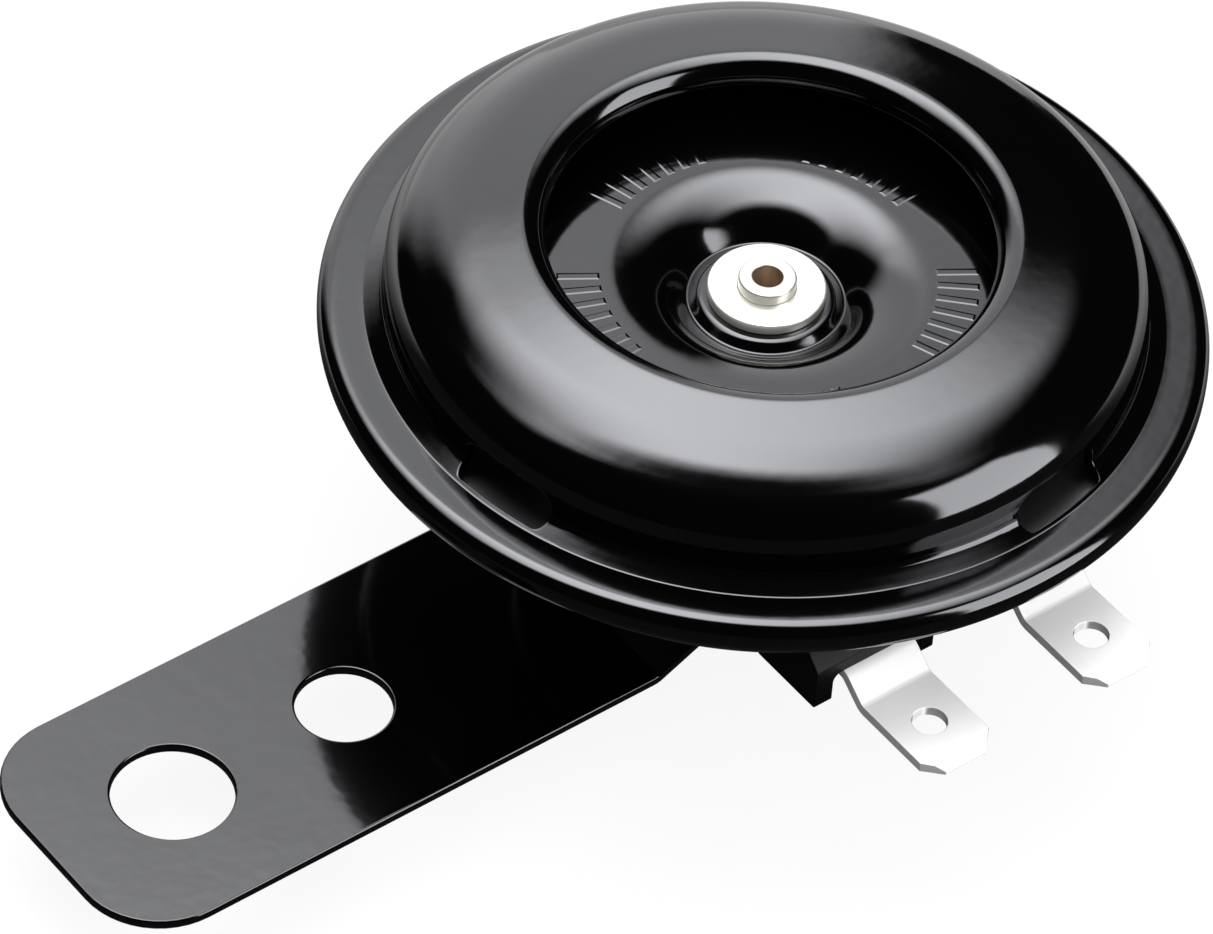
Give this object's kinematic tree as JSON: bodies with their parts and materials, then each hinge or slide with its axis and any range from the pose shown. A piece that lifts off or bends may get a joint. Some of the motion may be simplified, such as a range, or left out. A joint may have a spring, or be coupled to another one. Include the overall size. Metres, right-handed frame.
{
  "type": "car horn",
  "caption": "Electric disc horn: pressed domed front with a sound hole over a dished tone disc, drum-shaped back, flat strap bracket with holes, spade terminals under hoods.",
  "frame": {"origin": "centre of the bracket's larger mounting hole, on the strap's rear face", "axes": "+Z along the mounting hole and the horn's own axis towards the sound side, +X along the strap from the mounting hole to the horn, terminals towards -Y"},
  "size_m": [0.0951, 0.0669, 0.0361],
  "materials": {
    "black_paint": "gloss",
    "bracket_paint": "gloss",
    "gasket_paper": "matte",
    "spring_steel": "satin",
    "bright_zinc": "bright zinc",
    "bobbin_plastic": "moulded",
    "copper_wire": "enamelled copper",
    "black_moulding": "satin",
    "tin_plate": "bright tin",
    "phenolic": "satin",
    "contact_brass": "satin",
    "contact_silver": "satin",
    "rivet_steel": "satin"
  },
  "bodies": {
    "housing": {"front_cover": "black_paint", "rear_housing": "black_paint", "cover_gasket": "gasket_paper", "diaphragm": "spring_steel", "diaphragm_gasket": "gasket_paper", "pole_core": "bright_zinc", "coil_bobbin": "bobbin_plastic", "coil_winding": "copper_wire", "mounting_bracket": "bracket_paint", "bracket_washer": "bright_zinc", "lock_washer": "bright_zinc", "mounting_nut": "bright_zinc", "terminal_block": "black_moulding", "terminal_left": "tin_plate", "terminal_right": "tin_plate", "inner_plate": "phenolic", "terminal_rivets": "tin_plate", "contact_insulator": "phenolic", "fixed_contact_arm": "contact_brass", "fixed_contact": "contact_silver", "cap_insulator": "phenolic", "breaker_rivets": "rivet_steel", "screw_bush": "contact_brass"},
    "armature": {"armature": "bright_zinc", "back_washer": "spring_steel", "disc_spacer": "spring_steel", "tone_disc": "black_paint", "front_washer": "bright_zinc"},
    "breaker_leaf": {"breaker_leaf": "contact_brass", "moving_contact": "contact_silver"},
    "tuning_screw": {"tuning_screw": "contact_brass"}
  },
  "joints": [
    {"name": "armature_stroke", "type": "slide", "parent": "housing", "child": "armature", "axis": [0, 0, 1], "range_m": [-0.0004, 0], "stiffness_N_per_m": 2000, "springref_m": 0.0003, "deforming": ["diaphragm"]},
    {"name": "breaker_rock", "type": "hinge", "parent": "housing", "child": "breaker_leaf", "pos_m": [0.0758, 0, 0.01545], "axis": [0, 1, 0], "range_deg": [-1.5, 0], "stiffness_Nm_per_rad": 0.005},
    {"name": "tuning_turn", "type": "hinge", "parent": "housing", "child": "tuning_screw", "pos_m": [0.0715, 0, 0.0135], "axis": [0, 0, 1], "range_deg": [-180, 180]}
  ],
  "couplings": [
    {"joint": "breaker_rock", "follows": "armature_stroke", "rad_per_m": 58.14}
  ]
}
